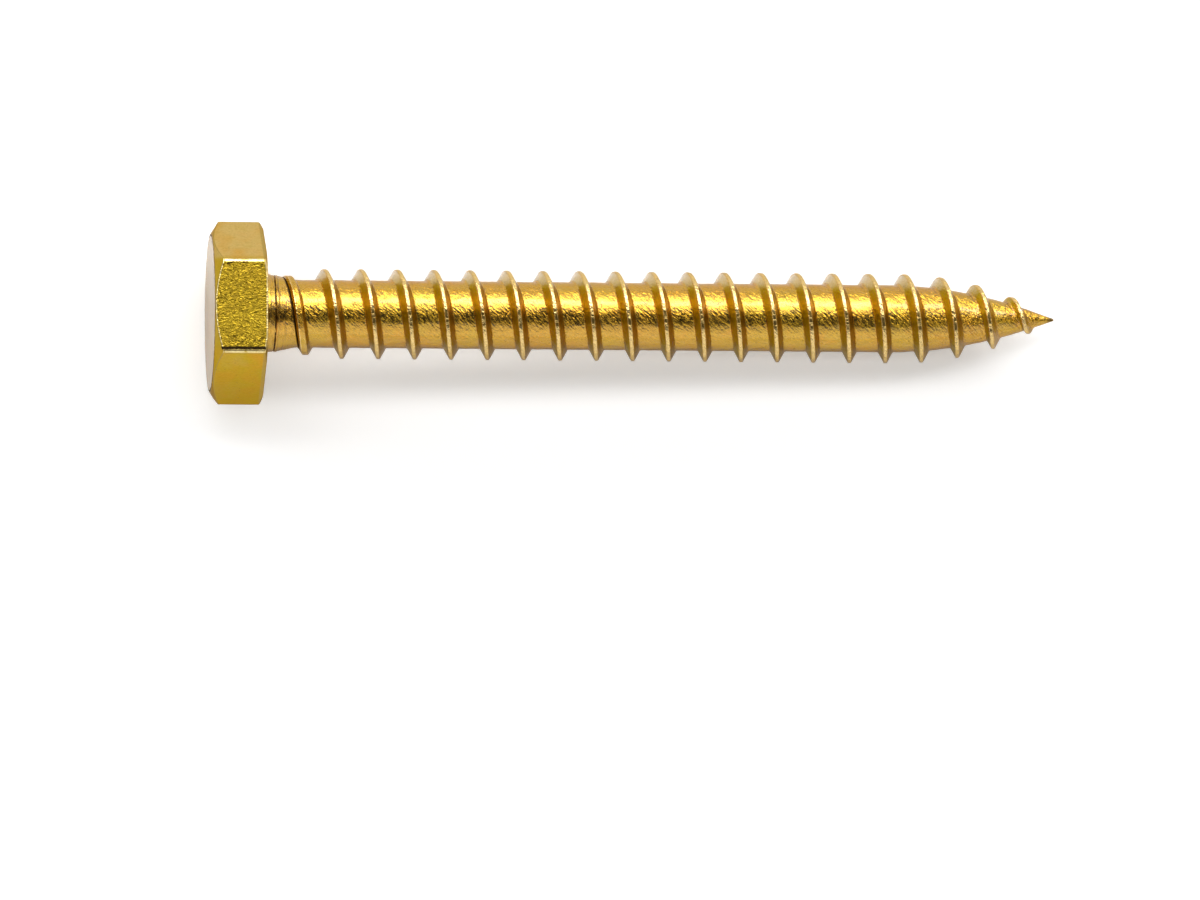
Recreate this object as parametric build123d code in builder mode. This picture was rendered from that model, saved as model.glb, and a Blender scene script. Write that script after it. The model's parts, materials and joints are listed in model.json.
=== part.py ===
from build123d import *

import os
from math import asin, atan2, ceil, cos, hypot, pi, radians, sin, sqrt, tan

# A hex-head roofing screw: one piece of formed steel with a coarse wood thread and a gimlet point.
# Millimetres and degrees. The screw is built about its own axis, with z = 0 at the bearing face under
# the head, the head below that and the point at z = shank_length. Its +X side is the one that ends up
# on top when it is laid down, as it comes to rest, on one flat of the head and one crest of the thread.

# Head
across_flats = 11.11
head_height = 3.65
head_corner_radius = 0.35  # of the hexagon's corners, seen along the axis
crown_flat_diameter = 10.9  # the flat circle inside the chamfer of the outer face
crown_chamfer_angle = 32  # from the outer face
corner_bevel = 0.45  # radial, where the corners are taken off on the bearing side
corner_bevel_depth = 0.18
bearing_edge_radius = 0.15

# Neck, between the bearing face and the thread
neck_diameter = 5.33
neck_length = 1.0
neck_flare = 0.2  # radial, where the neck meets the head
neck_flare_length = 0.55
neck_step = 0.05  # radial step down at the end of the neck
neck_cone_length = 1.3

# Core of the shank
shank_length = 55.5
root_diameter = 4.7
point_cone_angle = 37  # included
point_cone_length = 2.0
point_end_diameter = 0.16

# Thread
pitch = 2.54
thread_diameter = 6.25
crest_width = 0.22
flank_angle = 28  # of each flank, from square to the axis
first_crest = 2.32  # where the crest first passes the screw's +X side
run_in_length = 3.4  # over which the crest rises out of the neck to its full height
run_in_depth = 0.11  # of the crest below the neck, where it starts
crest_taper_length = 9.0  # over which the crest comes down along the point
run_out_start = 2.0  # from the end of the point
run_out_height = 0.44  # of the crest above the core, where the run-out starts
run_out_length = 1.0  # over which the crest sinks into the point

# How the core and the thread are made
ogive_cones = 5  # short cones that stand in for the arc along which the core narrows
rooting = 0.15  # how deep the ridge stands in the core, as a share of the core's radius
points_per_turn = 48

corner_reach = across_flats / 2 / cos(pi / 6) - head_corner_radius * (1 / cos(pi / 6) - 1)
crown_radius = crown_flat_diameter / 2
neck_radius = neck_diameter / 2
root_radius = root_diameter / 2
crest_radius = thread_diameter / 2
point_end_radius = point_end_diameter / 2

cone_start_radius = neck_radius - neck_step
cone_end = neck_length + neck_cone_length
run_in_start = neck_length
taper_end = shank_length - run_out_start
taper_start = taper_end - crest_taper_length
run_out_end = taper_end + run_out_length

# The core narrows along an arc, tangent to the straight core and to the cone at the end of the point.
# It is turned as a few short cones between places on that arc.
point_half_angle = radians(point_cone_angle / 2)
point_cone_radius = point_end_radius + point_cone_length * tan(point_half_angle)
point_cone_start = shank_length - point_cone_length
ogive_length = (root_radius - point_cone_radius) / tan(point_half_angle / 2)
ogive_start = point_cone_start - ogive_length
ogive_places = [ogive_start + ogive_length * i / ogive_cones for i in range(ogive_cones + 1)]


def arc_fall(fall, length, along):
    """How far an arc has fallen at `along`, if it starts level and has fallen by `fall` at `length`."""
    radius = length / sin(2 * atan2(fall, length))
    return radius - sqrt(radius**2 - along**2)


def core_radius(z):
    """Radius of the shank without its thread."""
    if z < neck_length:
        return neck_radius
    if z < cone_end:
        return cone_start_radius + (root_radius - cone_start_radius) * (z - neck_length) / neck_cone_length
    if z < ogive_start:
        return root_radius
    if z < point_cone_start:
        return root_radius - arc_fall(root_radius - point_cone_radius, ogive_length, z - ogive_start)
    return point_end_radius + max(shank_length - z, 0) * tan(point_half_angle)


def crest_radius_at(z):
    """Radius of the crest, which rises out of the neck and comes down along the point."""
    if z < run_in_start + run_in_length:
        start = cone_start_radius - run_in_depth
        return start + (crest_radius - start) * (z - run_in_start) / run_in_length
    if z < taper_start:
        return crest_radius
    run_out_radius = core_radius(taper_end) + run_out_height
    if z < taper_end:
        return crest_radius - arc_fall(crest_radius - run_out_radius, crest_taper_length, z - taper_start)
    sunk_radius = core_radius(run_out_end) * (1 - rooting)
    return run_out_radius + (sunk_radius - run_out_radius) * (z - taper_end) / run_out_length


def ridge_point(z, side, at_crest):
    """A corner of the ridge's section, whose middle is at z: side is -1 towards the head, 1 to the point."""
    crest = crest_radius_at(z)
    flank_slope = tan(radians(flank_angle))
    foot = z + side * (crest_width / 2 + max(crest - core_radius(z), 0) * flank_slope)
    rooted_radius = min(core_radius(foot), crest) * (1 - rooting)
    radius = crest if at_crest else rooted_radius
    along = z + side * (crest_width / 2 + (crest - radius) * flank_slope)
    angle = 2 * pi * (z - first_crest) / pitch
    return (radius * cos(angle), radius * sin(angle), along)


def ridge_edge(start, end, side, at_crest):
    """One of the ridge's four long edges, from one place on the axis to another."""
    count = ceil((end - start) / pitch * points_per_turn)
    places = [start + (end - start) * i / count for i in range(count + 1)]
    return Edge.make_spline([ridge_point(z, side, at_crest) for z in places], parameters=places)


def resting_tilt():
    """Angle of the axis to the surface that the head and the thread rest on."""
    heel_radius = across_flats / 2 - bearing_edge_radius
    tilts = []
    for turn in range(int((taper_end - first_crest) / pitch)):
        crest_middle = first_crest + (turn + 0.5) * pitch
        run = crest_middle + crest_width / 2 + bearing_edge_radius
        rise = heel_radius - crest_radius_at(crest_middle)
        tilts.append(atan2(rise, run) + asin(bearing_edge_radius / hypot(rise, run)))
    return min(tilts)


with BuildPart() as head:
    with BuildSketch(Plane.XY.offset(-head_height)) as hexagon:
        RegularPolygon(across_flats / 2, 6, major_radius=False, rotation=30)
        fillet(hexagon.vertices(), head_corner_radius)
    extrude(amount=head_height)
    # Turning chamfers the outer face to a circle and bevels the corners on the bearing side.
    with BuildSketch(Plane.XZ):
        with BuildLine():
            bevel_radius = corner_reach - corner_bevel
            outside = corner_reach + corner_bevel
            bevel_end = -corner_bevel_depth * (outside - bevel_radius) / corner_bevel
            Polyline(
                (0, 0),
                (bevel_radius, 0),
                (outside, bevel_end),
                (outside, -head_height + (outside - crown_radius) * tan(radians(crown_chamfer_angle))),
                (crown_radius, -head_height),
                (0, -head_height),
                close=True,
            )
        make_face()
    revolve(axis=Axis.Z, mode=Mode.INTERSECT)
    fillet(head.faces().sort_by(Axis.Z)[-1].edges(), bearing_edge_radius)

with BuildPart() as core:
    with BuildSketch(Plane.XZ):
        with BuildLine():
            Polyline(
                (0, 0),
                (neck_radius + neck_flare, 0),
                (neck_radius, neck_flare_length),
                (neck_radius, neck_length),
                (cone_start_radius, neck_length),
                (root_radius, cone_end),
                *[(core_radius(z), z) for z in ogive_places],
                (point_end_radius, shank_length),
                (0, shank_length),
                close=True,
            )
        make_face()
    revolve(axis=Axis.Z)

with BuildPart() as ridge:
    count = ceil((run_out_end - run_in_start) / pitch)
    cuts = [run_in_start + (run_out_end - run_in_start) * i / count for i in range(count + 1)]
    section = [(-1, False), (-1, True), (1, True), (1, False)]
    faces = []
    for start, end in zip(cuts, cuts[1:]):
        edges = [ridge_edge(start, end, side, at_crest) for side, at_crest in section]
        for edge, next_edge in zip(edges, edges[1:] + edges[:1]):
            faces.append(Face.make_surface_from_curves(edge, next_edge))
    for z in (run_in_start, run_out_end):
        corners = [ridge_point(z, side, at_crest) for side, at_crest in section]
        faces.append(Face(Wire.make_polygon(corners, close=True)))
    add(Solid(Shell(faces)))

# The screw lies with its axis in the XZ plane and its point towards +X. In length it is centred on
# the origin, between the crown's lower edge and the end of the point, and its lowest place is at Z = 0.
tilt = resting_tilt()
axis_height = (across_flats / 2 - bearing_edge_radius) * cos(tilt) + bearing_edge_radius * (1 - sin(tilt))
crown_end = -head_height * cos(tilt) - crown_radius * sin(tilt)
point_end = shank_length * cos(tilt) + point_end_radius * sin(tilt)
lying = Plane(
    origin=(-(crown_end + point_end) / 2, 0, axis_height),
    x_dir=(sin(tilt), 0, cos(tilt)),
    z_dir=(cos(tilt), 0, -sin(tilt)),
)

with BuildPart(lying) as roofing_screw:
    add(head.part)
    add(core.part)
    add(ridge.part)
roofing_screw.part.label = "roofing_screw"

os.makedirs("parts", exist_ok=True)
export_step(roofing_screw.part, "parts/roofing_screw.step")
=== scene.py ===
import json
import math

import bpy
import numpy as np
from mathutils import Matrix, Vector, noise


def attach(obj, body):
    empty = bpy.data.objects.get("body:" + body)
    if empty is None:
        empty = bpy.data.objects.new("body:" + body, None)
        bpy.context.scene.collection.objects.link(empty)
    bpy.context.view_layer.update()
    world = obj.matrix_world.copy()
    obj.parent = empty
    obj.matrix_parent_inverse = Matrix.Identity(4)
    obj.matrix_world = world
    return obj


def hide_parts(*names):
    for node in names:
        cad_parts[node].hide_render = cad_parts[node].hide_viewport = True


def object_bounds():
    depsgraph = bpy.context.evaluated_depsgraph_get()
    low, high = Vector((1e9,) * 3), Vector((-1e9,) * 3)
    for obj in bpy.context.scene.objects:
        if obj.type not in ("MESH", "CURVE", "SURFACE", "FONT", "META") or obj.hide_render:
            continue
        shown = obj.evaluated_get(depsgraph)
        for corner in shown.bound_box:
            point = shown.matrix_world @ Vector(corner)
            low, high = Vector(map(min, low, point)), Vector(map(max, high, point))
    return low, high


# The looks of a gold-zinc roofing screw: one mesh for the whole forged piece, from the crown of its
# head to its gimlet point. Lengths are in millimetres until a mesh is made, and in metres in Blender.
# The screw's own frame has z = 0 at the bearing face, the head below it and the point at SHANK_LENGTH.
# Its +X side is the one on top as it lies.

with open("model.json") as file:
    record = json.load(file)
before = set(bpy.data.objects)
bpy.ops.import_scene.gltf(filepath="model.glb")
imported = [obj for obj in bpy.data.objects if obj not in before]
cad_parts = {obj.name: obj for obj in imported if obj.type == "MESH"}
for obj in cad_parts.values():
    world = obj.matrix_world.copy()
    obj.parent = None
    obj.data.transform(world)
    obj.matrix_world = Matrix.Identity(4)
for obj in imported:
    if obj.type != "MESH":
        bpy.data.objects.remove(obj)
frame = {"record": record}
cad_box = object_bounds()

MM = 0.001

# The form, as in the solid
ACROSS_FLATS = 11.11
HEAD_HEIGHT = 3.65
HEAD_CORNER_RADIUS = 0.35
CROWN_RADIUS = 5.45
CROWN_CHAMFER = math.radians(32)
CORNER_BEVEL = 0.45
CORNER_BEVEL_DEPTH = 0.18
NECK_RADIUS = 2.665
NECK_FLARE = 0.2
NECK_FLARE_LENGTH = 0.55
NECK_LENGTH = 1.0
NECK_STEP = 0.05
NECK_CONE_LENGTH = 1.3
SHANK_LENGTH = 55.5
ROOT_RADIUS = 2.35
POINT_HALF_ANGLE = math.radians(18.5)
POINT_CONE_LENGTH = 2.0
POINT_END_RADIUS = 0.08
PITCH = 2.54
CREST_RADIUS = 3.125
CREST_WIDTH = 0.22
FLANK_SLOPE = math.tan(math.radians(28))
FIRST_CREST = 2.32
RUN_IN_LENGTH = 3.4
RUN_IN_DEPTH = 0.11
CREST_TAPER_LENGTH = 9.0
RUN_OUT_START = 2.0
RUN_OUT_HEIGHT = 0.44
RUN_OUT_LENGTH = 1.0
ROOTING = 0.15  # how deep the ridge stands in the core, as a share of its radius

# The finish of the form
FLARE_POWER = 1.6  # of the flare's curve, which is a straight cone in the solid
NECK_STEP_START = 0.06  # before the end of the neck, where the solid has a square step
NECK_STEP_RUN = 0.08
ROOT_FILLET = 0.12
CREST_ROUNDING = 0.07
START_WIDENING = 0.1  # of each half of the crest, where the thread starts
START_WIDENING_END = 4.4
START_WIDENING_FADE = 1.4
EDGE_ROUNDING = 0.07
BEARING_EDGE_ROUNDING = 0.1
BEARING_EDGE_BEVEL = 0.07
CORNER_BEVEL_EASING = 0.03  # taken off the corner bevel's depth, as the edge's own bevel adds to it
NECK_MARGIN = 0.12  # from the foot of the neck to the innermost ring of the bearing face

# Wear, forging marks and turned lines: how deep they go, and where the neck's groove is
DENT_DEPTH = 0.018
POINT_DENT_DEPTH = 0.008  # on top of that, towards the point
NICK_DEPTH = 0.05
LINE_DEPTH = 0.05
NECK_GROOVE = 0.75
GROOVE_DEPTH = 0.05
GROOVE_WIDTH = 0.035  # from its middle to where it is about a third as deep
WRINKLE_DEPTH = 0.02
SIDE_WAVE_DEPTH = 0.006

# How fine the mesh is
COLUMNS_PER_TURN = 96
FLAT_COLUMNS = 41
TOP_FLAT_COLUMNS = 73
CORNER_COLUMNS = 6
CROWDING = 1.35  # how much the columns of a flat crowd towards its corners, in radians
CROWN_MIDDLE_RADIUS = 0.25  # of the innermost ring of the crown
CROWN_ROWS = 8
CHAMFER_ROWS = 4
SIDE_ROWS = 34
BEARING_ROWS = 4
ROUNDING_STEPS = 4
STRAIGHT_RINGS_END = 1.2
STRAIGHT_RING_STEP = 0.05

NECK_END_RADIUS = NECK_RADIUS - NECK_STEP
POINT_CONE_START = SHANK_LENGTH - POINT_CONE_LENGTH
POINT_CONE_RADIUS = POINT_END_RADIUS + POINT_CONE_LENGTH * math.tan(POINT_HALF_ANGLE)
OGIVE_LENGTH = (ROOT_RADIUS - POINT_CONE_RADIUS) / math.tan(POINT_HALF_ANGLE / 2)
OGIVE_START = POINT_CONE_START - OGIVE_LENGTH
TAPER_END = SHANK_LENGTH - RUN_OUT_START
TAPER_START = TAPER_END - CREST_TAPER_LENGTH
RUN_OUT_END = TAPER_END + RUN_OUT_LENGTH
HALF_FLATS = ACROSS_FLATS / 2
HALF_SIDE = HALF_FLATS / math.sqrt(3) - HEAD_CORNER_RADIUS * math.tan(math.pi / 6)
CORNER_REACH = HALF_FLATS / math.cos(math.pi / 6) - HEAD_CORNER_RADIUS * (1 / math.cos(math.pi / 6) - 1)


def arc_fall(fall, length, along):
    """How far an arc has fallen at `along`, if it starts level and has fallen by `fall` at `length`."""
    radius = length / math.sin(2 * math.atan2(fall, length))
    along = np.clip(along, 0, length)
    return radius - np.sqrt(radius**2 - along**2)


def core_radius(z):
    """Radius of the shank without its thread."""
    flare = NECK_FLARE * np.clip(1 - z / NECK_FLARE_LENGTH, 0, 1) ** FLARE_POWER
    step = NECK_STEP * np.clip((z - NECK_LENGTH + NECK_STEP_START) / NECK_STEP_RUN, 0, 1)
    cone = (NECK_END_RADIUS - ROOT_RADIUS) * np.clip((z - NECK_LENGTH) / NECK_CONE_LENGTH, 0, 1)
    ogive = arc_fall(ROOT_RADIUS - POINT_CONE_RADIUS, OGIVE_LENGTH, z - OGIVE_START)
    point = np.maximum(z - POINT_CONE_START, 0) * math.tan(POINT_HALF_ANGLE)
    return NECK_RADIUS + flare - step - cone - ogive - point


def crest_radius(z):
    """Radius of the crest, which rises out of the neck and comes down along the point."""
    start = NECK_END_RADIUS - RUN_IN_DEPTH
    rise = start + (CREST_RADIUS - start) * (z - NECK_LENGTH) / RUN_IN_LENGTH
    end = float(core_radius(np.array(TAPER_END))) + RUN_OUT_HEIGHT
    taper = CREST_RADIUS - arc_fall(CREST_RADIUS - end, CREST_TAPER_LENGTH, z - TAPER_START)
    sunk = float(core_radius(np.array(RUN_OUT_END))) * (1 - ROOTING)
    run_out = end + (sunk - end) * (z - TAPER_END) / RUN_OUT_LENGTH
    return np.minimum(np.minimum(rise, taper), np.where(z > TAPER_END, run_out, CREST_RADIUS))


def soft_max(a, b, reach):
    """The larger of a and b, with the corner between them filled where they differ by less than reach."""
    near = np.maximum(reach - np.abs(a - b), 0)
    return np.maximum(a, b) + near**2 / (4 * reach)


def extra_width(middle):
    """How much wider each half of the crest is where the thread starts."""
    return START_WIDENING * np.clip((START_WIDENING_END - middle) / START_WIDENING_FADE, 0, 1)


def shank_radius(z, off_crest, crest):
    """Radius at z, off_crest from the middle of the nearest ridge, where the crest has the given radius."""
    beside = (np.abs(off_crest) - CREST_WIDTH / 2 - extra_width(z - off_crest)) / FLANK_SLOPE
    ridge = crest - soft_max(beside, 0 * beside, CREST_ROUNDING)
    return soft_max(core_radius(z), ridge, ROOT_FILLET)


def waves(points, size, seed, octaves=3):
    """Smooth noise from -1 to 1 at each point, with features of about the given size."""
    shift = Vector((seed * 7.3, seed * 3.1, seed * 5.7))
    return np.array([noise.fractal(Vector(p) / size + shift, 1.0, 2.0, octaves) for p in points])


# What the material needs at each point: how high the ridge stands there, how far off the middle of its
# crest the point is and on which side of it (mm; 1 towards the head), and the edges of the head.
MARKS = ("rise", "off", "side", "edge")


class Surface:
    """Points and faces of the screw in its own frame, with what the material needs at each point."""

    def __init__(self):
        self.points = []
        self.marks = []
        self.faces = []

    def add(self, points, **marks):
        first = sum(len(p) for p in self.points)
        self.points.append(np.asarray(points, dtype=float))
        self.marks.append(np.stack([np.zeros(len(points)) + marks.get(m, 0) for m in MARKS], axis=1))
        return first


def ring_faces(first, rows, columns):
    """Quads between rows of points that each close on themselves."""
    faces = []
    for row in range(rows - 1):
        for column in range(columns):
            after = (column + 1) % columns
            low, high = first + row * columns, first + (row + 1) * columns
            faces.append((low + column, low + after, high + after, high + column))
    return faces


def zipper(inner, outer, inner_angles, outer_angles):
    """Triangles between two rings of points that go round the same axis, given their angles in order."""
    faces = []
    i = j = 0
    while i < len(inner) or j < len(outer):
        next_inner = inner_angles[i + 1] if i + 1 < len(inner) else inner_angles[0] + 2 * math.pi
        next_outer = outer_angles[j + 1] if j + 1 < len(outer) else outer_angles[0] + 2 * math.pi
        step_inner = j == len(outer) or (i < len(inner) and next_inner < next_outer)
        a, b = inner[i % len(inner)], outer[j % len(outer)]
        if step_inner:
            faces.append((a, inner[(i + 1) % len(inner)], b))
            i += 1
        else:
            faces.append((a, outer[(j + 1) % len(outer)], b))
            j += 1
    return faces


def hexagon_columns():
    """Points round the hexagon, in order: its x and y, over all six sides and rounded corners."""
    corner_turn = np.radians(np.linspace(0, 60, CORNER_COLUMNS + 2)[1:-1])
    corner = [
        (HALF_FLATS - HEAD_CORNER_RADIUS * (1 - math.cos(a)), HALF_SIDE + HEAD_CORNER_RADIUS * math.sin(a))
        for a in corner_turn
    ]
    columns = []
    for k in range(6):
        spread = np.linspace(-1, 1, TOP_FLAT_COLUMNS if k == 0 else FLAT_COLUMNS)
        flat = np.sin(spread * CROWDING) / math.sin(CROWDING) * HALF_SIDE
        side = np.array([(HALF_FLATS, t) for t in flat] + corner)
        turn = math.radians(60 * k)
        spin = np.array([[math.cos(turn), math.sin(turn)], [-math.sin(turn), math.cos(turn)]])
        columns.append(side @ spin)
    return np.concatenate(columns)


def rounded(corners, rounding, spans):
    """A polyline with its inner corners rounded, as points: spans[i] is how many lengths run i has."""
    most = 0.45  # of a run, for the rounding at either end of it
    points = [corners[0]]
    for i in range(len(corners) - 1):
        a, b = corners[i], corners[i + 1]
        length = np.linalg.norm(b - a)
        along = (b - a) / length
        before = min(rounding[i], length * most) if i > 0 else 0
        after = min(rounding[i + 1], length * most) if i < len(corners) - 2 else 0
        start, end = a + along * before, b - along * after
        points += [start + (end - start) * s / spans[i] for s in range(1, spans[i] + 1)]
        if i < len(corners) - 2:
            c = corners[i + 2]
            next_length = np.linalg.norm(c - b)
            next_start = b + (c - b) / next_length * min(rounding[i + 1], next_length * most)
            for s in range(1, ROUNDING_STEPS + 1):
                t = s / ROUNDING_STEPS
                points.append((1 - t) ** 2 * end + 2 * t * (1 - t) * b + t**2 * next_start)
    return points


def head_section(reach):
    """The head's outline in a plane through its axis, where its side stands at `reach` from the axis."""
    over = max(0, reach - (CORNER_REACH - CORNER_BEVEL))
    depth = BEARING_EDGE_BEVEL + over * (CORNER_BEVEL_DEPTH - CORNER_BEVEL_EASING) / CORNER_BEVEL
    width = BEARING_EDGE_BEVEL + over * (CORNER_BEVEL - BEARING_EDGE_BEVEL) / CORNER_BEVEL
    corners = [
        (CROWN_MIDDLE_RADIUS, -HEAD_HEIGHT),
        (CROWN_RADIUS, -HEAD_HEIGHT),
        (reach, -HEAD_HEIGHT + (reach - CROWN_RADIUS) * math.tan(CROWN_CHAMFER)),
        (reach, -depth),
        (reach - width, 0.0),
        (NECK_RADIUS + NECK_FLARE + NECK_MARGIN, 0.0),
    ]
    rounding = [0, EDGE_ROUNDING, EDGE_ROUNDING, BEARING_EDGE_ROUNDING, BEARING_EDGE_ROUNDING, 0]
    spans = [CROWN_ROWS, CHAMFER_ROWS, SIDE_ROWS, 1, BEARING_ROWS]
    return rounded([np.array(c) for c in corners], rounding, spans)


def forging_marks(points, on_side):
    """How deep each point of the head's sides is marked: wrinkles on the top flat, faint waves on all."""
    inset = np.clip((HALF_SIDE + 0.1 - np.abs(points[:, 1])) / 0.25, 0, 1)
    top = on_side * (points[:, 0] > HALF_FLATS - 1e-6) * inset
    wrinkle = np.clip(0.45 + 0.9 * waves(points * (1, 1, 0.6), 0.24, 5), 0, 1)
    return top * WRINKLE_DEPTH * wrinkle + on_side * SIDE_WAVE_DEPTH * (1 + waves(points, 1.2, 6))


def head_surface(surface):
    """The head, from the middle of its crown to the ring where the neck meets the bearing face.
    Returns that ring's points and their angles round the axis."""
    columns = hexagon_columns()
    reach = np.hypot(columns[:, 0], columns[:, 1])
    sections = np.array([head_section(r) for r in reach])
    rows = sections.shape[1]
    along = columns / reach[:, None]
    grid = np.concatenate([sections[:, :, :1] * along[:, None, :], sections[:, :, 1:]], axis=2)
    points = grid.transpose(1, 0, 2).reshape(-1, 3)

    # Rows of the sides, and of the edges where they meet the chamfer and the bearing face
    side_start = 1 + CROWN_ROWS + CHAMFER_ROWS + 2 * ROUNDING_STEPS
    side_end = side_start + SIDE_ROWS
    on_side = np.zeros(rows)
    on_side[side_start:side_end] = 1
    on_edge = np.zeros(rows)
    on_edge[side_start - 3 : side_start - 1] = 1
    on_edge[side_end + 1 : side_end + 6] = 1
    at_corner = np.clip((reach - math.hypot(HALF_FLATS, HALF_SIDE)) / 0.03, 0, 1)
    edge = np.maximum(on_edge[:, None], on_side[:, None] * at_corner[None, :]).ravel()

    depth = forging_marks(points, np.repeat(on_side, len(columns)))
    outward = points[:, :2] / np.hypot(points[:, 0], points[:, 1])[:, None]
    points[:, :2] -= outward * depth[:, None]
    first = surface.add(points, edge=edge)
    surface.faces += ring_faces(first, rows, len(columns))
    middle = surface.add([(0, 0, -HEAD_HEIGHT)])
    for column in range(len(columns)):
        surface.faces.append((middle, first + (column + 1) % len(columns), first + column))
    last = first + (rows - 1) * len(columns)
    angles = np.unwrap(np.arctan2(columns[:, 1], columns[:, 0]))
    return list(range(last, last + len(columns))), angles


def level(z):
    """A whole number for a height, the same for heights that differ only by the error of floating point."""
    return np.floor(np.asarray(z) * 1e5 + 0.623).astype(np.int64)


def wear(points, rise, off):
    """How much lower than its true form the shank is at each point: dents, nicks and turned lines, less
    the collar round the foot of the neck."""
    z = points[:, 2]
    on_crest = np.clip(1.8 - off / 0.09, 0, 1) * np.clip(rise / 0.1 - 0.5, 0, 1)
    dent_depth = DENT_DEPTH + POINT_DENT_DEPTH * np.clip((z - 44) / 6, 0, 1)
    dents = (1 - on_crest) * dent_depth * waves(points, 0.8, 1)
    nicks = on_crest * NICK_DEPTH * np.clip(waves(points, 0.5, 2) - 0.15, 0, 1)
    on_neck = np.clip(z / 0.15, 0, 1) * np.clip((1.3 - z) / 0.2, 0, 1)
    lines = on_neck * LINE_DEPTH * np.clip(waves(points * (0.15, 0.15, 1), 0.14, 3), 0, 1)
    groove = GROOVE_DEPTH * np.exp(-(((z - NECK_GROOVE) / GROOVE_WIDTH) ** 2))

    # The collar fills the flare's corner, less of it on the +Y side
    collar = np.clip(1.4 - 2.8 * (z - 0.1), 0, 1) - np.clip(1 - z / NECK_FLARE_LENGTH, 0, 1)
    collar = NECK_FLARE * np.maximum(collar, 0) * (0.65 - 0.35 * points[:, 1] / NECK_RADIUS)
    away_from_ends = np.clip((SHANK_LENGTH - z) / 1.0, 0, 1) * np.clip(z / 0.1, 0, 1)
    return (dents + nicks) * away_from_ends + lines + groove - collar


def ridge_columns(height):
    """How far from the middle of the crest the sheet's columns lie, where the ridge has the given height."""
    foot = np.clip(CREST_WIDTH / 2 + height * FLANK_SLOPE, 0.3, 0.6)
    # Places between two turns and the crest, and how many steps lead to each from the one before
    stops = [
        (np.full_like(foot, PITCH / 2), 0),
        (foot + 0.22, 4),
        (foot - 0.13, 5),
        (np.full_like(foot, CREST_WIDTH / 2 + 0.05), 3),
        (np.full_like(foot, CREST_WIDTH / 2 - 0.07), 3),
        (np.zeros_like(foot), 1),
    ]
    half = [stops[0][0]]
    for (start, _), (end, count) in zip(stops, stops[1:]):
        half += [start + (end - start) * s / count for s in range(1, count + 1)]
    half = np.array(half).T
    return np.concatenate([-half, half[:, -2::-1]], axis=1)


def shank_surface(surface):
    """The neck, thread and point. Straight rings make the neck. Beyond it, a sheet winds along the thread,
    cut off square at both ends, and neighbouring turns share their points.
    Returns the first ring's points and their angles round the axis."""
    n = COLUMNS_PER_TURN
    first_turn = math.floor((STRAIGHT_RINGS_END - FIRST_CREST) / PITCH - 0.5) * n
    last_turn = math.ceil((SHANK_LENGTH - FIRST_CREST) / PITCH + 0.5) * n
    turns = np.arange(first_turn, last_turn + 1)
    middle = FIRST_CREST + PITCH * turns / n
    crest = crest_radius(middle)
    height = np.maximum(crest - core_radius(np.clip(middle, 0, SHANK_LENGTH)), 0)
    off_crest = ridge_columns(height)
    z = np.clip(middle[:, None] + off_crest, STRAIGHT_RINGS_END, SHANK_LENGTH)
    off_crest = z - middle[:, None]
    radius = shank_radius(z, off_crest, crest[:, None])
    rise = radius - core_radius(z)
    place = (turns % n)[:, None] + 0 * z

    rings = np.arange(0, STRAIGHT_RINGS_END - 0.01, STRAIGHT_RING_STEP)
    ring_z = np.repeat(rings, n)
    ring_place = np.tile(np.arange(n), len(rings))
    ring_radius = core_radius(ring_z)

    # Points at the same place are one point
    all_z = np.concatenate([ring_z, z.ravel()])
    all_place = np.concatenate([ring_place, place.ravel()]).astype(int)
    all_radius = np.concatenate([ring_radius, radius.ravel()])
    all_rise = np.concatenate([0 * ring_radius, rise.ravel()])
    all_off = np.concatenate([0 * ring_radius + PITCH / 2, off_crest.ravel()])
    keys = level(all_z) * n + all_place
    _, kept, same = np.unique(keys, return_index=True, return_inverse=True)
    angle = 2 * math.pi * all_place[kept] / n
    turned = np.stack([np.cos(angle), np.sin(angle)], axis=1)
    points = np.concatenate([turned * all_radius[kept][:, None], all_z[kept][:, None]], axis=1)
    rise, off = all_rise[kept], all_off[kept]
    points[:, :2] -= turned * wear(points, rise, np.abs(off))[:, None]
    off_edge = np.maximum(np.abs(off) - extra_width(points[:, 2] - off), 0)
    first = surface.add(points, rise=rise, off=off_edge, side=off < 0)
    same = same.ravel() + first
    point_at = {key: first + i for i, key in enumerate(keys[kept])}

    # The rings, the seam between the last of them and the sheet, the sheet, and the tip
    surface.faces += [tuple(same[list(f)]) for f in ring_faces(0, len(rings), n)]
    last_ring = (len(rings) - 1) * n
    seam = level(STRAIGHT_RINGS_END) * n
    for c in range(n):
        after = (c + 1) % n
        low = (same[last_ring + c], same[last_ring + after])
        surface.faces.append((*low, point_at[seam + after], point_at[seam + c]))
    width = off_crest.shape[1]
    for row in range(len(turns) - 1):
        for column in range(width - 1):
            a = len(ring_z) + row * width + column
            corners = [same[a], same[a + width], same[a + width + 1], same[a + 1]]
            face = [v for i, v in enumerate(corners) if v != corners[i - 1]]
            if len(face) > 2:
                surface.faces.append(tuple(face))
    end = level(SHANK_LENGTH) * n
    tip = surface.add([(0, 0, SHANK_LENGTH)])
    for c in range(n):
        surface.faces.append((point_at[end + c], point_at[end + (c + 1) % n], tip))
    return [int(same[c]) for c in range(n)], 2 * math.pi * np.arange(n) / n


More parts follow.
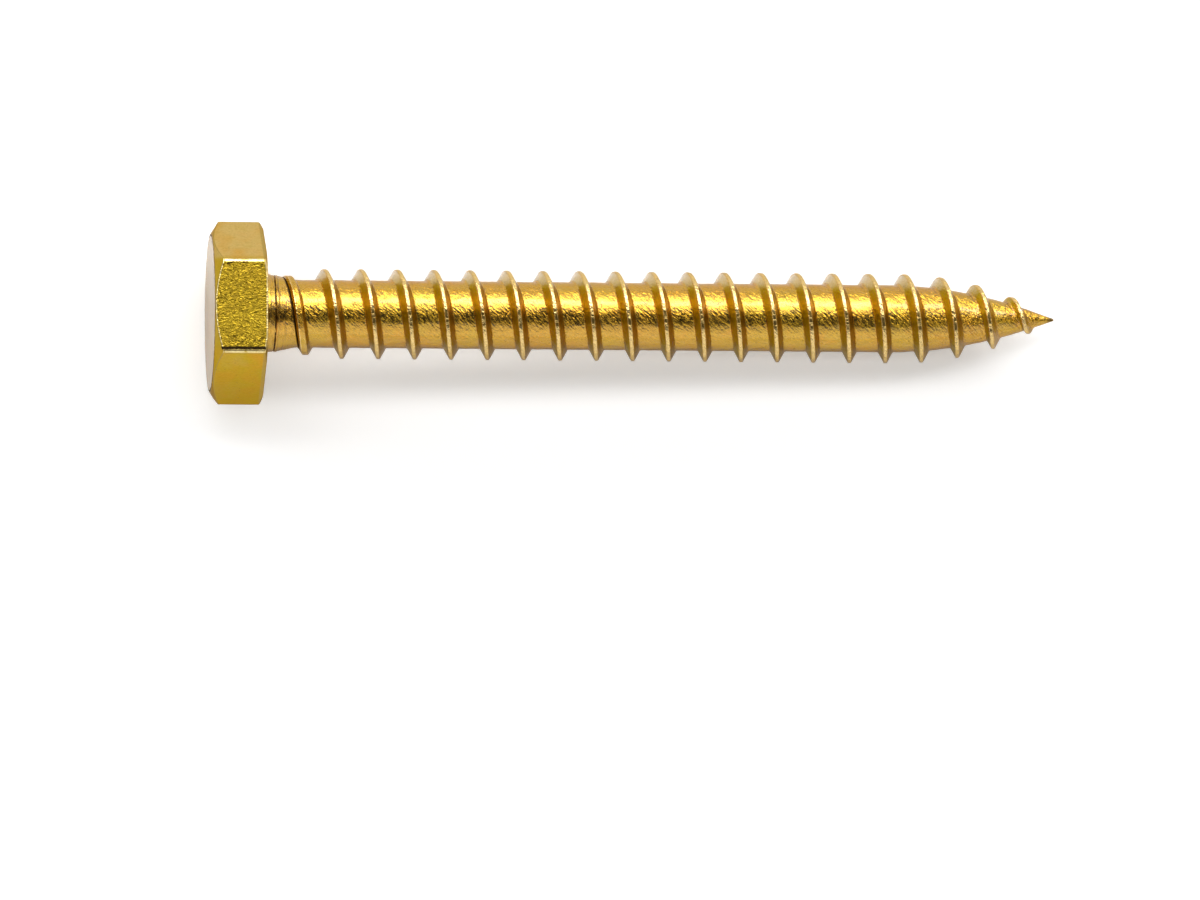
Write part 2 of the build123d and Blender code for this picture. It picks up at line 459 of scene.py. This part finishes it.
def whole_surface():
    """The head and the shank, joined by triangles round the foot of the neck."""
    surface = Surface()
    bearing_ring, bearing_angles = head_surface(surface)
    neck_ring, neck_angles = shank_surface(surface)
    shift = int(np.argmin(np.mod(bearing_angles, 2 * math.pi)))
    bearing_ring = bearing_ring[shift:] + bearing_ring[:shift]
    bearing_angles = np.mod(np.roll(bearing_angles, -shift), 2 * math.pi)
    joint = zipper(neck_ring, bearing_ring, neck_angles, bearing_angles)
    surface.faces += [face[::-1] for face in joint]
    return surface


def lying_matrix(axis, crown_middle):
    """From the screw's own frame, in metres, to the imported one."""
    side = axis.cross(Vector((0, 1, 0))).normalized()
    turned = Matrix((side, axis.cross(side), axis)).transposed().to_4x4()
    turned.translation = crown_middle + axis * HEAD_HEIGHT * MM
    return turned


mounts = {m["name"]: m for m in frame["record"]["mounts"]}
axis = Vector(mounts["wood_thread"]["axis"]).normalized()
lying = lying_matrix(axis, Vector(mounts["crown_face"]["pos_m"]))

surface = whole_surface()
points = np.concatenate(surface.points)
mesh = bpy.data.meshes.new("screw_body")
mesh.from_pydata([lying @ Vector(p * MM) for p in points], [], surface.faces)
mesh.update()
mesh.attributes.new("place", "FLOAT_VECTOR", "POINT").data.foreach_set("vector", points.ravel())
for name, values in zip(MARKS, np.concatenate(surface.marks).T):
    mesh.attributes.new(name, "FLOAT", "POINT").data.foreach_set("value", np.ascontiguousarray(values))
mesh.shade_smooth()
screw = bpy.data.objects.new("screw_body", mesh)
bpy.context.scene.collection.objects.link(screw)
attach(screw, "root")
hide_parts("roofing_screw")


class Graph:
    """Short ways to make a node tree. Each returns a socket, and takes sockets or plain values."""

    def __init__(self, tree):
        self.tree = tree

    def fill(self, socket, value):
        """Link a socket to another one, or set it to a plain value or colour."""
        if isinstance(value, bpy.types.NodeSocket):
            self.tree.links.new(value, socket)
        elif socket.type == "RGBA" and len(value) == 3:
            socket.default_value = (*value, 1)
        else:
            socket.default_value = value

    def outputs(self, kind, inputs=None, **settings):
        """Make a node with the given inputs and settings, and return its output sockets."""
        made = self.tree.nodes.new(kind)
        for name, value in settings.items():
            setattr(made, name, value)
        for socket, value in (inputs or {}).items():
            self.fill(made.inputs[socket], value)
        return made.outputs

    def attribute(self, name, output="Fac"):
        return self.outputs("ShaderNodeAttribute", attribute_name=name)[output]

    def math(self, operation, a, b=0.0):
        return self.outputs("ShaderNodeMath", {0: a, 1: b}, operation=operation)[0]

    def times(self, first, *others):
        for value in others:
            first = self.math("MULTIPLY", first, value)
        return first

    def plus(self, first, *others):
        for value in others:
            first = self.math("ADD", first, value)
        return first

    def most(self, first, *others):
        for value in others:
            first = self.math("MAXIMUM", first, value)
        return first

    def rest(self, value):
        return self.math("SUBTRACT", 1.0, value)

    def size(self, value):
        return self.math("ABSOLUTE", value)

    def length(self, vector):
        return self.outputs("ShaderNodeVectorMath", {0: vector}, operation="LENGTH")["Value"]

    def stretch(self, place, scale):
        return self.outputs("ShaderNodeVectorMath", {0: place, 1: scale}, operation="MULTIPLY")[0]

    def step(self, value, low, high):
        """0 below low and 1 above high, or the other way round, with a smooth rise between."""
        if low < high:
            inputs = {"Value": value, "From Min": low, "From Max": high}
        else:
            inputs = {"Value": value, "From Min": high, "From Max": low, "To Min": 1.0, "To Max": 0.0}
        return self.outputs("ShaderNodeMapRange", inputs, interpolation_type="SMOOTHSTEP")[0]

    def noise(self, place, scale, detail=2.0, distortion=0.0):
        inputs = {"Vector": place, "Scale": scale, "Detail": detail, "Distortion": distortion}
        return self.outputs("ShaderNodeTexNoise", inputs)[0]

    def mix(self, factor, a, b):
        # The inputs of a colour mix are its factor, 0, and its colours, 6 and 7
        return self.outputs("ShaderNodeMix", {0: factor, 6: a, 7: b}, data_type="RGBA")[2]

    def layered(self, color, layers):
        """A colour with others laid over it in turn, each as far as its factor says."""
        for factor, layer in layers:
            color = self.mix(factor, color, layer)
        return color


# Colours of the finish, and of the light and shade painted into it, as linear RGB
GOLD = (0.64, 0.35, 0.034)
YELLOW_GOLD = (0.62, 0.37, 0.032)
ORANGE = (0.68, 0.32, 0.028)
HEAD_GOLD = (0.60, 0.36, 0.03)
HEAD_OLIVE = (0.56, 0.385, 0.026)
# The top flat's olive, painted darker than the other flats: painted shade of the flat that faces up
TOP_FLAT_OLIVE_AND_SHADE = (0.31, 0.22, 0.013)
RUSTY_BLOTCH = (0.70, 0.34, 0.04)
OLIVE_BLOTCH = (0.58, 0.41, 0.09)
# Painted light: the head's sides on the side towards the key lamp
PAINTED_LIGHT_SIDE = (0.79, 0.65, 0.35)
# Painted shade: the head's sides on the side away from the key lamp, darker towards their far edge
PAINTED_SHADE_SIDE = (0.30, 0.17, 0.012)
CHAMFER_OLIVE = (0.36, 0.25, 0.03)
FLANK_TO_POINT = (0.42, 0.26, 0.012)
FLANK_TO_HEAD = (0.50, 0.38, 0.008)
# Painted sheen: a pale haze on the head-side flanks, on the side towards the key lamp
PAINTED_SHEEN = (0.78, 0.60, 0.33)
PALE_CREST = (0.88, 0.64, 0.25)
# Pale edges beside the top flat: partly wear, partly a painted highlight of the rounded edges
PALE_EDGE_WEAR_AND_HIGHLIGHT = (0.92, 0.76, 0.36)
DULL_EDGE = (0.40, 0.29, 0.11)
# Painted reflection: dark strokes where the lands mirror the dark sky overhead
PAINTED_REFLECTION_STROKE = (0.10, 0.06, 0.008)
# Pits, and the dots painted on the crest as a painted reflection
PIT_AND_PAINTED_DOT = (0.04, 0.024, 0.005)
BROWN_GRAIN = (0.36, 0.20, 0.015)
TURNED_LINE = (0.22, 0.12, 0.01)
TIP = (0.12, 0.06, 0.008)
DARK_LINE = (0.02, 0.012, 0.006)

# Relief of the finish in millimetres, as bump
CRINKLE_RELIEF = 0.05
STROKE_RELIEF = 0.065
PEBBLE_RELIEF = 0.01
FOLD_RELIEF = 0.24
TURNED_RELIEF = 0.12
GRAIN_RELIEF = 0.004
SIDE_GRAIN_RELIEF = 0.01
PIT_RELIEF = 0.02

ROUGHNESS = 0.155
COAT = 0.65


class GoldZinc(Graph):
    """Zinc plate with a yellow chromate over formed steel: gold, with olive and orange in it.
    Everything is painted by the place on the screw, in its own frame. Masks are 1 inside and 0 outside."""

    def __init__(self):
        self.material = bpy.data.materials.new("gold_zinc")
        self.material.use_nodes = True
        super().__init__(self.material.node_tree)
        self.place = self.attribute("place", "Vector")
        self.x, self.y, self.z = self.outputs("ShaderNodeSeparateXYZ", {0: self.place})
        self.off_axis = self.length(self.stretch(self.place, (1, 1, 0)))
        self.rise, self.off, self.to_head, self.edge = [self.attribute(name) for name in MARKS]
        self.make_noises()
        self.find_head_places()
        self.find_shank_places()
        self.dark = self.dark_lines()
        # Pits, and dots painted on the crest where it mirrors the dark sky overhead: a painted reflection
        self.dark_spots = self.pits_and_painted_dots()

        shader = self.tree.nodes["Principled BSDF"].inputs
        self.fill(shader["Base Color"], self.color())
        self.fill(shader["Roughness"], self.roughness())
        self.fill(shader["Coat Weight"], self.coat())
        bump = {"Height": self.relief(), "Distance": MM, "Strength": 1.0}
        self.fill(shader["Normal"], self.outputs("ShaderNodeBump", bump)[0])
        self.fill(shader["Metallic"], 1)
        self.fill(shader["Specular Tint"], (0.6, 0.43, 0.18))
        self.fill(shader["Coat Roughness"], 0.18)
        self.fill(shader["Coat IOR"], 1.6)

    def make_noises(self):
        self.wide = self.noise(self.place, 0.24, 3.0)
        self.blotches = self.noise(self.place, 0.4, 2.0, 0.3)
        self.middling = self.noise(self.place, 0.75, 3.0, 0.5)
        self.worn = self.noise(self.place, 2.6, 3.0)
        self.specks = self.noise(self.place, 5.5, 1.0)
        self.grain = self.noise(self.place, 6.0, 2.0)
        self.turned = self.noise(self.stretch(self.place, (0.3, 0.3, 6.0)), 1.0, 3.0)
        slant = {"Vector": self.place, "Rotation": (math.radians(-42), 0, 0), "Scale": (0.35, 0.12, 0.5)}
        slanting = self.outputs("ShaderNodeMapping", slant, vector_type="TEXTURE")[0]
        self.strokes = self.noise(slanting, 1.0, 2.0, 0.3)

    def find_head_places(self):
        x, y, z = self.x, self.y, self.z
        across = self.size(y)
        self.head = self.step(z, 0.05, -0.05)
        self.crown = self.step(z, 0.03 - HEAD_HEIGHT, 0.01 - HEAD_HEIGHT)
        self.sides = self.times(self.rest(self.crown), self.step(z, -0.01, -0.15))
        self.top_flat = self.times(
            self.step(x, HALF_FLATS - 0.07, HALF_FLATS - 0.05),
            self.step(across, HALF_SIDE + 0.05, HALF_SIDE),
        )
        self.near_top = self.times(
            self.step(x, HALF_FLATS - 0.3, HALF_FLATS - 0.2),
            self.step(across, HALF_SIDE + 0.3, HALF_SIDE + 0.2),
        )
        # This is -HEAD_HEIGHT on the cone of the chamfer, and more towards the point
        behind = self.plus(z, self.times(self.plus(self.off_axis, -CROWN_RADIUS), -math.tan(CROWN_CHAMFER)))
        self.chamfer = self.times(
            self.step(behind, 0.08 - HEAD_HEIGHT, 0.04 - HEAD_HEIGHT),
            self.step(self.off_axis, CROWN_RADIUS, CROWN_RADIUS + 0.05),
        )
        self.bearing_edge = self.times(
            self.step(z, -0.34, -0.24),
            self.step(self.off_axis, HALF_FLATS - 0.25, HALF_FLATS - 0.15),
            self.head,
        )

    def find_shank_places(self):
        x, y, z = self.x, self.y, self.z
        self.neck = self.times(self.step(z, 1.6, 1.3), self.step(z, 0.02, 0.1))
        self.start = self.step(z, 3.4, 2.6)  # of the thread
        self.tip = self.step(z, SHANK_LENGTH - 0.7, SHANK_LENGTH - 0.2)
        self.flank = self.times(self.step(self.rise, 0.03, 0.2), self.step(self.off, 0.12, 0.2))
        # Head-side flanks on the side towards the key lamp, where a pale sheen is painted and the coat is
        # thicker
        self.sheen_flank = self.times(self.flank, self.to_head, self.step(y, -1.5, -2.9))
        self.on_crest = self.times(self.step(self.off, 0.17, 0.1), self.step(self.rise, 0.05, 0.15))
        # The crest's top, where it mirrors the dark sky overhead and dark dots are painted
        self.crest_dark_band = self.times(
            self.step(x, 1.5, 2.0),
            self.step(self.size(self.plus(y, -0.45)), 0.7, 0.5),
        )
        # Where the lands' tops mirror the dark sky overhead, and dark strokes are painted as part of that
        # reflection
        self.mirrored_dark_band = self.times(
            self.step(x, 1.7, 2.1),
            self.step(self.size(self.plus(y, -0.3)), 0.75, 0.35),
            self.step(z, 0.3, 0.6),
            self.step(self.rise, 0.1, 0.03),
        )

    def dark_lines(self):
        """A black line painted along one corner of the top flat, as a painted reflection of the dark sky in
        its rounded edge, the nicks along the other, the crown's ring, the groove round the neck, and the
        crease where the thread starts."""
        ragged = self.plus(self.y, self.times(self.plus(self.noise(self.place, 4.0), -0.5), 0.12))
        # Painted reflection: a black line along the top flat's +Y corner, where the rounded edge mirrors the
        # dark sky
        painted_edge_line = self.times(
            self.step(ragged, HALF_SIDE - 0.2, HALF_SIDE - 0.16),
            self.step(ragged, HALF_SIDE + 0.04, HALF_SIDE),
            self.head,
            self.step(self.x, HALF_FLATS - 0.14, HALF_FLATS - 0.1),
        )
        nicks = self.times(
            self.step(ragged, 0.26 - HALF_SIDE, 0.16 - HALF_SIDE),
            self.step(self.specks, 0.58, 0.64),
            self.top_flat,
        )
        wavering = self.plus(self.off_axis, self.times(self.plus(self.noise(self.place, 3.0), -0.5), 0.22))
        ring = self.times(
            self.step(wavering, CROWN_RADIUS - 0.16, CROWN_RADIUS - 0.06),
            self.step(wavering, CROWN_RADIUS + 0.06, CROWN_RADIUS),
            self.crown,
            self.step(self.worn, 0.36, 0.46),
        )
        groove = self.times(
            self.step(self.z, NECK_GROOVE - 0.07, NECK_GROOVE - 0.02),
            self.step(self.z, NECK_GROOVE + 0.07, NECK_GROOVE + 0.02),
            self.step(self.worn, 0.3, 0.55),
        )
        crease = self.times(
            self.step(self.off, 0.2, 0.24),
            self.step(self.off, 0.4, 0.32),
            self.to_head,
            self.step(self.z, 3.2, 2.6),
            self.step(self.z, 1.22, 1.3),
        )
        return self.most(painted_edge_line, ring, nicks, groove, crease)

    def pits_and_painted_dots(self):
        """Pits all over, stronger on the top flat, and dark dots painted along the top of the crest where it
        mirrors the dark sky overhead: a painted reflection.
        """
        dark_spots = self.times(self.step(self.specks, 0.7, 0.75), self.plus(0.3, self.times(self.top_flat, 0.4)))
        # Painted reflection: dark dots on the crest's top, where it mirrors the dark sky overhead
        painted_dots = self.times(
            self.step(self.noise(self.stretch(self.place, (0, 1, 0.15)), 5.2, 0.0), 0.42, 0.48),
            self.crest_dark_band,
            self.step(self.off, 0.12, 0.07),
            self.step(self.z, 3.2, 3.8),
        )
        return self.most(dark_spots, painted_dots)

    def head_color(self):
        blotched = self.times(self.rest(self.top_flat), 0.55)
        return self.layered(
            HEAD_OLIVE,
            [
                (self.step(self.middling, 0.4, 0.62), HEAD_GOLD),
                # Painted light: the head's sides are paler towards local -Y, the side that faces the key
                # lamp
                (self.times(self.step(self.y, -3.1, -3.6), self.sides, 0.7), PAINTED_LIGHT_SIDE),
                # The top flat's olive tone, painted darker than the other flats as painted shade of the flat
                # that faces up
                (self.times(self.top_flat, 0.95), TOP_FLAT_OLIVE_AND_SHADE),
                (self.times(self.step(self.blotches, 0.42, 0.75), blotched), RUSTY_BLOTCH),
                (self.times(self.step(self.blotches, 0.5, 0.28), blotched), OLIVE_BLOTCH),
            ],
        )

    def color(self):
        pale_crest = self.times(self.on_crest, self.plus(0.8, self.times(self.start, -0.8)))
        pale_line = self.times(
            self.start,
            self.to_head,
            self.step(self.off, 0.02, 0.05),
            self.step(self.off, 0.14, 0.11),
            0.8,
        )
        dull_edge = self.most(self.edge, self.times(self.bearing_edge, 0.8))
        dull_edge = self.times(dull_edge, self.rest(self.near_top), 0.75)
        return self.layered(
            GOLD,
            [
                (self.step(self.wide, 0.42, 0.6), YELLOW_GOLD),
                (self.times(self.step(self.middling, 0.5, 0.72), 0.5), ORANGE),
                (self.times(self.head, 0.85), self.head_color()),
                # Painted shade: the head's sides darken towards local +Y, the side away from the key lamp,
                # where they mirror the floor's shadow
                (self.times(self.step(self.y, 3.4, 6.4), self.sides, 0.5), PAINTED_SHADE_SIDE),
                (self.times(self.chamfer, 0.3), CHAMFER_OLIVE),
                (self.times(self.flank, 0.8), self.mix(self.to_head, FLANK_TO_POINT, FLANK_TO_HEAD)),
                # Painted sheen on the head-side flanks, on the side towards the key lamp
                (self.times(self.sheen_flank, 0.6), PAINTED_SHEEN),
                (self.most(pale_crest, pale_line), PALE_CREST),
                # Pale edges beside the top flat: partly wear, partly a painted highlight of the rounded
                # edges
                (self.times(self.edge, self.near_top, self.step(self.worn, 0.25, 0.5)), PALE_EDGE_WEAR_AND_HIGHLIGHT),
                (dull_edge, DULL_EDGE),
                # Painted reflection: dark strokes in the band where the lands mirror the dark sky overhead
                (self.times(self.step(self.strokes, 0.52, 0.4), self.mirrored_dark_band, 0.7), PAINTED_REFLECTION_STROKE),
                # Pits, and the dots painted on the crest as a painted reflection
                (self.times(self.dark_spots, 0.9), PIT_AND_PAINTED_DOT),
                (self.times(self.step(self.grain, 0.35, 0.7), 0.2), BROWN_GRAIN),
                (self.times(self.neck, self.step(self.turned, 0.54, 0.62), 0.6), TURNED_LINE),
                (self.times(self.tip, 0.8), TIP),
                (self.times(self.dark, 0.97), DARK_LINE),
            ],
        )

    def roughness(self):
        return self.plus(
            ROUGHNESS,
            self.times(self.wide, 0.1),
            self.times(self.head, 0.09),
            self.times(self.flank, 0.12),
            self.times(self.most(self.dark, self.dark_spots), 0.3),
        )

    def coat(self):
        """A clear film, which gives pale highlights: little on the head's sides, more on the crown and where
        sheen is painted on the flanks, and less in pits and in the dots painted on the crest.
        """
        thick = self.most(self.crown, self.sheen_flank)
        film = self.plus(COAT, self.times(self.head, -0.55), self.times(thick, 0.9))
        return self.times(film, self.rest(self.most(self.dark, self.dark_spots)))

    def relief(self):
        """Crinkles, slanting strokes and pebbles on the shank, stronger towards the point, wrinkles on the
        top flat, turned lines on the neck, a fine grain, and the depth of the dark lines, the pits and the
        painted dots."""
        shank = self.plus(
            self.times(self.noise(self.place, 2.8, 4.0, 0.8), CRINKLE_RELIEF),
            self.times(self.strokes, STROKE_RELIEF),
            self.times(self.noise(self.place, 9.0, 1.0), PEBBLE_RELIEF),
        )
        amount = self.plus(
            1.0,
            self.times(self.step(self.z, 40, 50), 0.7),
            self.times(self.head, -0.9),
            self.times(self.neck, -0.7),
        )
        wrinkle = self.noise(self.stretch(self.place, (1, 1, 0.6)), 4.6, 2.0, 0.8)
        folds = self.size(self.plus(wrinkle, -0.5))
        grain_relief = self.plus(GRAIN_RELIEF, self.times(self.head, self.sides, SIDE_GRAIN_RELIEF))
        return self.plus(
            self.times(shank, amount),
            self.times(folds, self.top_flat, FOLD_RELIEF),
            self.times(self.turned, self.neck, TURNED_RELIEF),
            self.times(self.grain, grain_relief),
            self.times(self.most(self.dark, self.dark_spots), -PIT_RELIEF),
        )


mesh.materials.append(GoldZinc().material)


# The floor is white paper, which the camera and the metal see a little brighter than the lamps make it.
# Far from the screw, where the lamps don't reach, the camera sees it plain white.
FLOOR_REACH = 2
FLOOR_COLOR = (0.85, 0.85, 0.85)
FLOOR_GLOW = 0.36  # to the camera, near the screw
FLOOR_MIRRORED_GLOW = 0.08


def paper():
    """The floor's material."""
    material = bpy.data.materials.new("paper")
    material.use_nodes = True
    g = Graph(material.node_tree)
    rays = g.outputs("ShaderNodeLightPath")
    mirrored = g.most(rays["Is Glossy Ray"], rays["Is Transmission Ray"])
    spot = g.outputs("ShaderNodeTexCoord")["Object"]
    far = g.step(g.length(spot), 0.1, 0.5)
    glow = g.plus(FLOOR_GLOW, g.times(far, 1 - FLOOR_GLOW))
    seen = g.plus(g.times(rays["Is Camera Ray"], glow), g.times(mirrored, FLOOR_MIRRORED_GLOW))
    shader = material.node_tree.nodes["Principled BSDF"].inputs
    g.fill(shader["Base Color"], FLOOR_COLOR)
    g.fill(shader["Roughness"], 0.9)
    g.fill(shader["Specular IOR Level"], 0)
    g.fill(shader["Emission Color"], (1, 1, 1))
    g.fill(shader["Emission Strength"], seen)
    return material


floor_mesh = bpy.data.meshes.new("floor")
floor_corners = [(x * FLOOR_REACH, y * FLOOR_REACH, 0) for x, y in ((-1, -1), (1, -1), (1, 1), (-1, 1))]
floor_mesh.from_pydata(floor_corners, [], [(0, 1, 2, 3)])
floor_mesh.materials.append(paper())
floor = bpy.data.objects.new("floor", floor_mesh)
bpy.context.scene.collection.objects.link(floor)


def softbox(name, angle, reach, half_angle, length, brightness, metal):
    """A flat lamp over the screw, `angle` degrees from straight up towards +Y, equally bright all over.
    It reaches half_angle to either side of that. It shows in the metal, or else it lights the floor."""
    place = Vector((0, math.sin(math.radians(angle)), math.cos(math.radians(angle)))) * reach
    light = bpy.data.lights.new(name, "AREA")
    light.shape = "RECTANGLE"
    light.size = length
    light.size_y = 2 * reach * math.tan(math.radians(half_angle))
    light.energy = brightness * math.pi * light.size * light.size_y
    lamp = bpy.data.objects.new(name, light)
    lamp.location = place
    lamp.rotation_mode = "QUATERNION"
    lamp.rotation_quaternion = place.to_track_quat("Z", "Y")
    lamp.visible_glossy = metal
    lamp.visible_diffuse = not metal
    bpy.context.scene.collection.objects.link(lamp)


softbox("key", 43, 0.75, 31, 1.6, 1.2, metal=True)
softbox("key_core", 42, 0.74, 8.5, 1.4, 7.0, metal=True)
softbox("fill", -58, 0.7, 22, 1.6, 0.9, metal=True)
softbox("high", 23, 0.9, 8, 2.4, 4.5, metal=False)
softbox("low", 60, 0.9, 4, 2.4, 9.0, metal=False)
softbox("top", -10, 0.9, 3, 2.4, 3.0, metal=False)

# The world is white to the camera, and otherwise bright at the horizon and dark from some way up
HORIZON_BRIGHTNESS = 0.75
SKY_BRIGHTNESS = 0.05
SKY_START = 0.6  # the height of a direction, as its Z
world = bpy.data.worlds.new("studio")
bpy.context.scene.world = world
world.use_nodes = True
studio = Graph(world.node_tree)
direction = studio.outputs("ShaderNodeTexCoord")["Generated"]
height = studio.outputs("ShaderNodeSeparateXYZ", {0: direction})["Z"]
fade = {"Value": height, "From Max": SKY_START, "To Min": HORIZON_BRIGHTNESS, "To Max": SKY_BRIGHTNESS}
brightness = studio.outputs("ShaderNodeMapRange", fade)[0]
camera_ray = studio.outputs("ShaderNodeLightPath")["Is Camera Ray"]
background = world.node_tree.nodes["Background"].inputs
studio.fill(background["Strength"], studio.most(brightness, camera_ray))
studio.fill(background["Color"], (1, 1, 1))

# Camera: almost straight down, a little from the head's end and from the front
CAMERA_DISTANCE = 0.565
CAMERA_LENS = 244
CAMERA_SENSOR = 36
CAMERA_TO_HEAD = math.radians(3.7)
CAMERA_TO_FRONT = math.radians(5.5)
CAMERA_ROLL = math.radians(0.38)
AIM = Vector((-2.34, -9.45, 0))  # from the middle of the screw, in millimetres
middle = (cad_box[0] + cad_box[1]) / 2
toward = Vector((-math.tan(CAMERA_TO_HEAD), -math.tan(CAMERA_TO_FRONT), 1)).normalized()
camera = bpy.data.objects.new("camera", bpy.data.cameras.new("camera"))
bpy.context.scene.collection.objects.link(camera)
bpy.context.scene.camera = camera
camera.data.sensor_width = CAMERA_SENSOR
camera.data.lens = CAMERA_LENS
camera.data.clip_start = 0.01
camera.location = middle + toward * CAMERA_DISTANCE
look = (middle + AIM * MM - camera.location).normalized()
along = (axis - look * axis.dot(look)).normalized()
screen_x = along * math.cos(CAMERA_ROLL) + along.cross(look) * math.sin(CAMERA_ROLL)
screen_y = screen_x.cross(look)
camera.rotation_mode = "QUATERNION"
camera.rotation_quaternion = Matrix((screen_x, screen_y, -look)).transposed().to_quaternion()

bpy.context.scene.view_settings.view_transform = "Standard"
